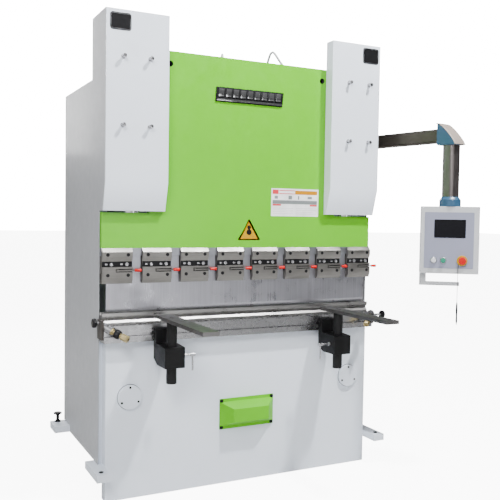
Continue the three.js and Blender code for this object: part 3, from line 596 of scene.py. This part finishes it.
def bed_details():
    """Screws of the disc caps with a dark ring painted as the shadow round each cap's edge, guard bolts,
    levelling bolts.
    """
    bm = bmesh.new()
    circle = 48
    # A dark ring on the bed round each disc cap: painted shadow of the cap's edge.
    cap_shade_ring = [(60.3, 0.05), (60.3, 0.5), (62.3, 0.5), (62.3, 0.05)]
    for x in (-CAP_X, CAP_X):
        for degrees in (90, 210, 330):
            a = math.radians(degrees)
            across, up = circle * math.cos(a), circle * math.sin(a)
            socket_bolt(bm, facing(x + across, BED_FRONT - CAP_PROUD, CAP_Z + up, FRONT), 5.5, 2.2)
        lathe(bm, cap_shade_ring, facing(x, BED_FRONT, CAP_Z, FRONT), 64, ring=True)
    bm_to("cap_screws", bm, ("dark",), "frame")
    bm = bmesh.new()
    for x in (-146, 146):
        for z in (-69, 69):
            place = facing(GUARD_X + x, BED_FRONT - 3.3, GUARD_Z + z, FRONT)
            lathe(bm, [(10, -0.3), (10, 1.2), (7, 1.2)], place, 24)
            socket_bolt(bm, place @ Matrix.Translation((0, 0, 1)), 7.5, 6)
    bm_to("guard_bolts", bm, ("dark",), "frame")
    bm = bmesh.new()
    for s in (-1, 1):
        x, y, z = FOOT_BOLT_REAR
        place = Matrix.Translation((x * s, y, z))
        lathe(bm, [(9, -2), (9, 36), (12, 40), (22, 45), (23, 47), (23, 51), (21, 53), (6, 53)], place, 28)
        hex_nut(bm, place, 17, 9)
    for s in (-1, 1):
        x, y, z = FOOT_NUT_FRONT
        hex_nut(bm, Matrix.Translation((x * s, y, z)), 13, 4)
    bm_to("levelling_bolts", bm, ("dark",), "frame")


cover_details()
bed_details()


# ------------------------------------------------------------------ ram face
def parallelogram(x0, x1, z0, z1, lean=0.09):
    """A rectangle whose upright sides lean."""
    shift = (z1 - z0) * lean
    return [(x0, z0), (x1, z0), (x1 + shift, z1), (x0 + shift, z1)]


TRIANGLE_X = 10


def ram_details():
    """Badge, blank label, triangle, and dark thread rings and a dark floor painted as the shade inside the
    lifting holes.
    """
    face = RAM_FRONT
    bm = bmesh.new()
    outline_plate(bm, parallelogram(-194, 194, 1973, 2047), face - 5, face - 0.1, 0, bevel=1.2)
    outline_plate(bm, parallelogram(-189, 190, 1977, 1989), face - 9.5, face - 4.9, 1, bevel=1.6)
    for i in range(9):
        x = -181 + i * 41.2
        outline_plate(bm, parallelogram(x, x + 33, 1997, 2040), face - 11, face - 4.9, 1, bevel=2.4)
    bm_to("badge", bm, ("dark", "chrome"), "ram")

    bm = bmesh.new()
    outline_plate(bm, rounded(139, 433, 1395, 1543.5, 3), face - 0.4, face - 0.05, 0)
    blocks = (
        (147, 183, 1513, 1536, 1), (187, 284, 1531, 1535, 1), (187, 284, 1514, 1518, 1),
        (285, 424, 1513, 1534, 2), (147, 424, 1461, 1481, 3), (147, 199, 1451, 1460, 1),
        (378, 424, 1451, 1460, 1), (159, 179, 1488, 1504, 3), (244, 266, 1486, 1506, 3),
        (303, 311, 1486, 1506, 3), (364, 391, 1490, 1503, 3),
    )
    for x0, x1, z0, z1, index in blocks:
        outline_plate(bm, rounded(x0, x1, z0, z1, 1.5, 2), face - 0.7, face - 0.35, index)
    for i in range(4):
        for x0, x1 in ((150, 275), (292, 420 - 22 * (i % 2))):
            line = rounded(x0, x1, 1408 + i * 9.5, 1410.5 + i * 9.5, 1, 1)
            outline_plate(bm, line, face - 0.6, face - 0.35, 4)
    bm_to("plain_label", bm, ("print_white", "print_red", "orange", "print_grey", "print_pale"), "ram")

    def triangle(grow):
        foot = 1267.6 - grow * 0.6
        corners = ((-56 - grow, foot), (76 + grow, foot), (TRIANGLE_X, 1379 + grow * 1.1))
        middle = Vector((TRIANGLE_X, 1305))
        points = []
        for c in corners:
            c = Vector(c)
            inward = (middle - c).normalized()
            across = Vector((-inward.y, inward.x))
            for t in (-1, -0.5, 0.5, 1):
                points.append(tuple(c + inward * (3.2 + 1.4 * abs(t)) + across * t * 3.6))
        return points

    bm = bmesh.new()
    outline_plate(bm, triangle(0), face - 0.4, face - 0.05, 0)
    outline_plate(bm, triangle(-8), face - 0.6, face - 0.35, 1)
    for z, r in ((1334, 11), (1309, 15)):
        lathe(bm, [(r, 0.3), (r, 0.8), (r - 0.5, 0.9)], facing(TRIANGLE_X, face, z, FRONT), 28, 2)
    bm_to("plain_triangle", bm, ("orange", "yellow", "dark"), "ram")

    # Thread rings and a disc closing each blind lifting hole, all dark: painted shade inside the hole over
    # the thread relief.
    bm = bmesh.new()
    for x in LIFTING_HOLES:
        place = facing(x, face, LIFTING_Z, FRONT)
        for i in range(7):
            z = -2.5 - 4 * i
            lathe(bm, [(LIFTING_R, z - 1.6), (13, z), (LIFTING_R, z + 1.6)], place, 32, ring=True)
        lathe(bm, [(LIFTING_R, -29.5), (LIFTING_R, -28.5), (1, -28.4)], place, 32)
    bm_to("lifting_threads_and_hole_shade", bm, ("dark",), "ram")


ram_details()


# ------------------------------------------------------------------ clamps and levers
CLAMP_BOLTS_X, CLAMP_BOLTS_Z = (27, 127), (1197, 1099)
GROOVE = CLAMP_FRONT + 11
INLAY_LOW, INLAY_HIGH = 1139, 1164
NUTS_X, NUT_Z = (46, 123), 1151
TABS_X, TAB_LOW, TAB_HIGH = (22, 97), 1147, 1156
# Edges of the dark strips painted as the shadow outline of each lever slot, and the start of the dark sheet
# painted as the shade at its back.
SLOT_SHADE_IN, SLOT_SHADE_OUT = 6, 8.2
SLOT_SHADE_START = 7


def clamp_details():
    """Screws, inlay bars and nuts of the eight clamps, and dark strips and a dark sheet painted as the shade
    in and round each lever slot.
    """
    bolts, bars = bmesh.new(), bmesh.new()
    nut = [(9, -0.3), (9, 3.4), (8, 5), (5.4, 5.4), (5.0, 2.0), (1, 1.8)]
    for i in range(8):
        x = -RAM_HALF + i * CLAMP_PITCH
        end, pivot = x + CLAMP_WIDE, x + LEVER_PIVOT
        for along in CLAMP_BOLTS_X:
            for z in CLAMP_BOLTS_Z:
                socket_bolt(bolts, facing(x + along, CLAMP_FRONT, z, FRONT), 8.5, 1.6, hole=0.62)
        block(bars, (x + 0.6, GROOVE, INLAY_LOW), (end - 0.6, GROOVE + 1.7, INLAY_HIGH), 0.4)
        for along in NUTS_X:
            lathe(bars, nut, facing(x + along, GROOVE, NUT_Z, FRONT), 28, 1)
        for along in TABS_X:
            low = (x + along - 7, GROOVE - 1.2, TAB_LOW)
            block(bars, low, (x + along + 6, GROOVE + 0.2, TAB_HIGH), 0.5, index=1)
        # Painted shade: a dark sheet behind each lever blade and dark strips round the slot's mouth, built
        # into the bolts mesh.
        low = (pivot + SLOT_SHADE_START, CLAMP_FRONT + 7.6, LEVER_Z - 5.9)
        block(bolts, low, (end - 0.4, CLAMP_FRONT + 8.2, LEVER_Z + 5.9))
        y0, y1 = CLAMP_FRONT - 0.3, CLAMP_FRONT + 0.5
        for low, high in ((LEVER_Z + SLOT_SHADE_IN, LEVER_Z + SLOT_SHADE_OUT), (LEVER_Z - SLOT_SHADE_OUT, LEVER_Z - SLOT_SHADE_IN)):
            block(bolts, (pivot - 10, y0, low), (end - 1, y1, high))
        block(bolts, (pivot - 10.2, y0, LEVER_Z - SLOT_SHADE_OUT), (pivot - 8, y1, LEVER_Z + SLOT_SHADE_OUT))
    bm_to("clamp_bolts_and_slot_shade", bolts, ("dark",), "ram")
    bm_to("clamp_inlays", bars, ("dark", "zinc"), "ram")


def lever(i):
    """Blade and red grip of one clamp lever."""
    x = -RAM_HALF + (i - 1) * CLAMP_PITCH + LEVER_PIVOT
    body = "clamp_lever_%d" % i
    bm = bmesh.new()
    y0, y1 = CLAMP_FRONT + 0.8, CLAMP_FRONT + 7.2
    eye = 3.4
    points = [(x - eye * math.sin(a) - 0.2, LEVER_Z + eye * math.cos(a)) for a in
              (math.radians(d) for d in range(180, -1, -30))]
    points += [(x + along, LEVER_Z + half) for along, half in ((60, 3.9), (88, 3.2), (88, -3.2), (60, -3.9))]
    outline_plate(bm, points, y0, y1, bevel=0.7)
    lathe(bm, [(4, 1.2), (4, 0.2), (2.4, 0.1)], facing(x, y0, LEVER_Z, FRONT), 20)
    bm_to("lever_blade_%d" % i, bm, ("clamp",), body, replaces=(body,))
    bm = bmesh.new()
    grip = [(4.5, 84), (6.4, 85), (7.0, 88), (7.2, 96), (8.2, 108), (8.4, 112), (7.6, 116), (5.2, 118),
            (2, 118.5)]
    lathe(bm, grip, facing(x, CLAMP_FRONT + 4, LEVER_Z, (1, 0, 0)), 24)
    bm_to("lever_grip_%d" % i, bm, ("red",), body, smooth=50)


clamp_details()
for number in range(1, 9):
    lever(number)


# ------------------------------------------------------------------ screws and knobs on the table
def clamp_screw(side, s):
    """The leaning brass screw at one end of the table, with its black grip."""
    lean = Vector((-0.68 * s, -0.62, -0.39))
    place = facing(756 * s, -73, 847, lean)
    body = "clamp_screw_" + side
    bm = bmesh.new()
    lathe(bm, [(16, 21.3), (16, 23.5), (15, 25), (15, 28), (11, 31), (11, 38)], place, 32)
    lathe(bm, [(12, 64), (13, 70), (13, 75)], place, 28)
    head = [(14.5, 74.5), (16.8, 77), (16.8, 111.5), (14.8, 114), (8.6, 114), (8.2, 104), (1, 103)]
    lathe(bm, head, place, 6)
    lathe(bm, [(7.6, 100), (7.6, 106), (6, 107.5), (1, 108)], place, 24)
    bm_to("clamp_screw_brass_" + side, bm, ("brass",), body, replaces=(body,))
    bm = bmesh.new()
    grip = [(10, 37), (19, 39.5), (22, 43), (22.8, 48), (22.8, 60), (21, 65), (17, 67.5), (11, 68)]
    lathe(bm, grip, place, 64, flutes=8, depth=2.2)
    bm_to("clamp_screw_grip_" + side, bm, ("dark",), body, smooth=50)


def end_knob(side, s, x, y, z, stem):
    """The fluted knob at one end of the table."""
    place = facing(x, y, z, (s, 0, 0))
    body = "end_knob_" + side
    bm = bmesh.new()
    lathe(bm, [(6.6, 0), (6.6, stem + 1)], place, 24, 1)
    grip = [(6, stem), (18, stem), (21.5, stem + 2), (22.8, stem + 5), (22.8, stem + 15),
            (21, stem + 18.5), (17, stem + 19.6), (14, stem + 19.4)]
    lathe(bm, grip, place, 72, 0, flutes=9, depth=1.6)
    lathe(bm, [(14, stem + 19), (13.4, stem + 19.9), (2, stem + 19.95)], place, 32, 2)
    bm_to("end_knob_grip_" + side, bm, ("dark", "zinc", "bronze"), body, smooth=50,
          replaces=(body,))


for side, s in SIDES:
    clamp_screw(side, s)
end_knob("left", -1, -787.3, -20, 872, 12)
end_knob("right", 1, 782.3, -55, 843, 60)


def support_details():
    """Two screws on top of each support arm."""
    for side, _ in SIDES:
        x = SUPPORT_X[side]
        bm = bmesh.new()
        for y in (POST_Y - 14, POST_Y + 14):
            place = Matrix.Translation((x, y, ARM_TOP))
            lathe(bm, [(7, -0.3), (7, 0.25), (6.4, 0.35), (4, 0.35), (3.6, -0.2), (1, -0.25)], place, 28)
        bm_to("arm_screws_" + side, bm, ("dark",), "arm_" + side)


support_details()


# ------------------------------------------------------------------ control pendant
def pendant_details():
    """Front foil, screen frame, button rims, stop collar and rear plate."""
    place = mm(PENDANT)
    face = PANEL_FRONT
    bm = bmesh.new()
    outer = rounded(-130, 122, 1134, 1429, 5)
    frame_plate(bm, outer, rounded(-76, 76, 1299, 1387, 1.5), face - 0.9, face - 0.05, place=place)
    bm_to("panel_plate", bm, ("panel",), "pendant")
    bm = bmesh.new()
    frame_plate(bm, rounded(-80, 80, 1295, 1391, 3), rounded(-74, 74, 1301, 1385, 1), face - 1.9, face - 0.8,
                place=place)
    bm_to("screen_frame", bm, ("screen",), "pendant")
    front = Matrix.Rotation(math.radians(90), 4, "X")
    bm = bmesh.new()
    for x in BUTTON_X:
        at = place @ Matrix.Translation((x, face, BUTTON_Z)) @ front
        lathe(bm, [(13.6, 0.5), (17, 0.5), (17, 3.4), (15.6, 4.8), (13.6, 4.8)], at, 40, ring=True)
    bm_to("button_rims", bm, ("zinc",), "pendant")
    bm = bmesh.new()
    at = place @ Matrix.Translation((ESTOP_X, face, BUTTON_Z)) @ front
    lathe(bm, [(12.8, 1), (26.5, 0.5), (27, 1.5), (27, 5.4), (25, 7.2), (12.8, 7.2)], at, 48, ring=True)
    bm_to("estop_collar", bm, ("yellow",), "pendant")
    bm = bmesh.new()
    back = place @ Matrix.Translation((0, -face, 0))
    outline_plate(bm, rounded(-138, 138, 1118, 1448, 4), 0.05, 1.2, 0, place=back)
    for x in (-128, 128):
        for z in (1130, 1283, 1436):
            at = back @ Matrix.Translation((x, 1.2, z)) @ Matrix.Rotation(math.radians(-90), 4, "X")
            socket_bolt(bm, at, 5, 2.2, 1)
    bm_to("pendant_back", bm, ("pendant", "zinc"), "pendant")


def elbow_cover():
    """The curved cap over the elbow's sloping side."""
    path = [(-628, 63.5), (-640, 62.5), (-652, 58), (-668, 46.5), (-690, 27), (-712, 4), (-730, -16.5),
            (-744, -35), (-752.5, -52)]
    place = mm(BOOM)
    rows = []
    bm = bmesh.new()
    for i, (y, z) in enumerate(path):
        a, b = Vector(path[max(i - 1, 0)]), Vector(path[min(i + 1, len(path) - 1)])
        along = (b - a).normalized()
        out = Vector((along.y, -along.x))
        if out.y < 0:
            out = -out
        row = []
        for x, lift in ((-45.6, -1.5), (-45.6, 1.2), (-42, 3.4), (42, 3.4), (45.6, 1.2), (45.6, -1.5)):
            row.append(bm.verts.new(place @ Vector((x, y + out.x * lift, z + out.y * lift))))
        rows.append(row)
    for one, two in zip(rows, rows[1:]):
        for i in range(6):
            j = (i + 1) % 6
            bm.faces.new((one[i], one[j], two[j], two[i]))
    bm.faces.new(rows[0])
    bm.faces.new(list(reversed(rows[-1])))
    bm_to("elbow_cap", bm, ("tan",), "boom", smooth=30)


def bracket_details():
    """Bolts of the boom bracket and the nuts on its pin."""
    bm = bmesh.new()
    for y in (200, 280):
        for z in (1770, 1904):
            place = facing(793.5, y, z, (1, 0, 0))
            lathe(bm, [(12, -0.3), (12, 1.8), (9, 1.8)], place, 28)
            hex_nut(bm, place @ Matrix.Translation((0, 0, 1.7)), 10, 7)
    for z, up in ((1890, 1), (1784, -1)):
        hex_nut(bm, facing(BOOM_PIVOT.x, BOOM_PIVOT.y, z, (0, 0, up)), 17, 9)
    bm_to("bracket_bolts", bm, ("zinc",), "frame")


pendant_details()
elbow_cover()
bracket_details()


# ------------------------------------------------------------------ hydraulics on the tank
HOSE_ENDS = ((-40, 265, 2100), (232, 265, 2100), (-623, 5, 2174), (623, 5, 2174))
FINS, FIN_GAP = 30, (21, 22, 23, 24)  # the motor's cooling fins, and those left out for its terminal box


def hydraulic_details():
    """Hose fittings, valve blocks, filler, level glass and motor shell."""
    bm = bmesh.new()
    for at in HOSE_ENDS:
        place = Matrix.Translation(at)
        hex_nut(bm, place, 14, 9)
        lathe(bm, [(9, 8), (10, 9), (10, 26), (8.5, 28), (7.6, 28)], place, 24)
    hex_nut(bm, facing(-520, TANK_BACK, 1748, (0, 1, 0)), 16, 10)
    bm_to("hose_fittings", bm, ("zinc",), "frame")
    bm = bmesh.new()
    lathe(bm, [(36, -0.5), (36, 4), (30, 5), (30, 20), (38, 22), (38, 40), (34, 46), (12, 48)],
          Matrix.Translation((-600, 230, TANK_TOP)), 40, 0)
    for x in (30, 95, 160):
        block(bm, (x, 238, 2099), (x + 46, 292, 2168), 3, index=0)
        lathe(bm, [(13, 0), (13, 14), (11, 17), (3, 17)], Matrix.Translation((x + 23, 265, 2167)), 28, 1)
        block(bm, (x + 6, 206, 2112), (x + 40, 239, 2146), 3, index=0)
    block(bm, (286, TANK_BACK - 0.3, 1800), (318, TANK_BACK + 14, 1960), 3, index=0)
    block(bm, (294, TANK_BACK + 13, 1820), (310, TANK_BACK + 15.5, 1940), 1, index=2)
    bm_to("tank_fittings", bm, ("dark", "zinc", "aluminium"), "frame")
    bm = bmesh.new()
    centre = facing(-420, 420, 2140, (1, 0, 0))
    for i in range(FINS):
        if i in FIN_GAP:
            continue
        turn = Matrix.Rotation(math.radians(i * 360 / FINS), 4, "Z")
        block(bm, (78, -1.6, 14), (89, 1.6, 222), 0.8, place=centre @ turn)
    lathe(bm, [(60, -26), (82, -24), (90, -16), (91, 2), (91, 12), (80, 13)], centre, 48)
    for r in (22, 34, 46):
        lathe(bm, [(r, -26.4), (r + 5, -26.4), (r + 5, -24.5), (r, -24.5)], centre, 40, 1, ring=True)
    block(bm, (-345, 372, 2214), (-255, 452, 2266), 5)
    bm_to("motor_shell", bm, ("motor", "dark"), "frame")


hydraulic_details()


def rear_details():
    """Bolts of the rear tie plate and its guard sheet."""
    bm = bmesh.new()
    for s in (-1, 1):
        for z in (230, 400, 570):
            place = facing(700 * s, TIE_BACK, z, (0, 1, 0))
            lathe(bm, [(15, -0.3), (15, 2.5), (10, 2.5)], place, 28)
            socket_bolt(bm, place @ Matrix.Translation((0, 0, 2)), 11, 9)
        for z in range(680, 1681, 200):
            socket_bolt(bm, facing(712 * s, TIE_BACK, z, (0, 1, 0)), 7, 4)
    bm_to("rear_bolts", bm, ("zinc",), "frame")


rear_details()


# ------------------------------------------------------------------ stage
FLOOR_SIZE, FLOOR_DROP, FLOOR_GLOW = 60.0, 0.0005, 9.0
SEEN_STRENGTH, SOFT_STRENGTH = 20.0, 0.26  # the world as the camera sees it, and as it lights the part
SOFT_PARTS = (  # direction, dot range, light at each end: the ceiling, then the side the camera stands on
    ((0.0, 0.0, 1.0), -0.2, 1.0, 0.30, 1.25),
    ((-0.95, -0.30, 0.25), 0.15, 1.0, 0.0, 4.0),
)
PANEL = {"shape": "RECTANGLE"}
LIGHTS = (  # kind, name, energy, place, target, settings
    ("POINT", "key", 1650.0, (1.3, -1.76, 5.0), (0, 0, 0), {"shadow_soft_size": 0.16}),
    ("AREA", "rear_panel", 160.0, (-0.8, 5.0, 3.2), (0, 0.7, 1.2), {**PANEL, "size": 2.4, "size_y": 2.4}),
    ("AREA", "left_panel", 230.0, (-2.6, -3.4, 3.9), (-0.55, 0, 2.1), {**PANEL, "size": 1.6, "size_y": 1.6}),
    ("AREA", "front_panel", 22.0, (0.45, -4.3, 0.95), (-0.75, 0, 1.0), {**PANEL, "size": 1.0, "size_y": 2.2}),
)


def stage():
    """Floor, world and lights."""
    bm = bmesh.new()
    bmesh.ops.create_grid(bm, x_segments=1, y_segments=1, size=FLOOR_SIZE)
    mesh = bpy.data.meshes.new("floor")
    bm.to_mesh(mesh)
    bm.free()
    floor = bpy.data.objects.new("floor", mesh)
    floor.location.z = -FLOOR_DROP
    bpy.context.scene.collection.objects.link(floor)
    look = Look("floor_paint", specular=0.2)
    look.colour(look.mix(look.noise(0.6, 2.0), (0.52, 0.52, 0.52), (0.55, 0.55, 0.55)))
    look.set(look.shader, "Roughness", 0.8)
    seen_floor = look.tree.nodes.new("ShaderNodeLightPath")
    look.set(look.shader, "Emission Color", (1.0, 1.0, 1.0, 1.0))
    look.link(look.maths("MULTIPLY", seen_floor.outputs["Is Camera Ray"], FLOOR_GLOW), look.shader,
              "Emission Strength")
    mesh.materials.append(look.material)

    world = bpy.data.worlds.new("studio")
    bpy.context.scene.world = world
    world.use_nodes = True
    tree = world.node_tree
    tree.nodes.clear()
    out = tree.nodes.new("ShaderNodeOutputWorld")
    seen = tree.nodes.new("ShaderNodeBackground")
    seen.inputs["Color"].default_value = (1.0, 1.0, 1.0, 1.0)
    seen.inputs["Strength"].default_value = SEEN_STRENGTH
    soft = tree.nodes.new("ShaderNodeBackground")
    soft.inputs["Strength"].default_value = SOFT_STRENGTH
    coords = tree.nodes.new("ShaderNodeTexCoord")
    shares = []
    for direction, low, high, dark, bright in SOFT_PARTS:
        dot = tree.nodes.new("ShaderNodeVectorMath")
        dot.operation = "DOT_PRODUCT"
        dot.inputs[1].default_value = Vector(direction).normalized()
        tree.links.new(coords.outputs["Generated"], dot.inputs[0])
        lift = tree.nodes.new("ShaderNodeMapRange")
        lift.interpolation_type = "SMOOTHSTEP"
        for socket, value in (("From Min", low), ("From Max", high), ("To Min", dark), ("To Max", bright)):
            lift.inputs[socket].default_value = value
        tree.links.new(dot.outputs["Value"], lift.inputs["Value"])
        shares.append(lift.outputs["Result"])
    total = tree.nodes.new("ShaderNodeMath")
    total.operation = "ADD"
    tree.links.new(shares[0], total.inputs[0])
    tree.links.new(shares[1], total.inputs[1])
    tree.links.new(total.outputs[0], soft.inputs["Color"])
    path = tree.nodes.new("ShaderNodeLightPath")
    mixed = tree.nodes.new("ShaderNodeMixShader")
    tree.links.new(path.outputs["Is Camera Ray"], mixed.inputs["Fac"])
    tree.links.new(soft.outputs[0], mixed.inputs[1])
    tree.links.new(seen.outputs[0], mixed.inputs[2])
    tree.links.new(mixed.outputs[0], out.inputs["Surface"])

    for kind, name, energy, place, target, settings in LIGHTS:
        data = bpy.data.lights.new(name, kind)
        data.energy = energy
        for key, value in settings.items():
            setattr(data, key, value)
        obj = bpy.data.objects.new(name, data)
        obj.location = place
        obj.visible_camera = False
        obj.rotation_mode = "QUATERNION"
        obj.rotation_quaternion = (Vector(target) - Vector(place)).to_track_quat("-Z", "Y")
        bpy.context.scene.collection.objects.link(obj)


stage()
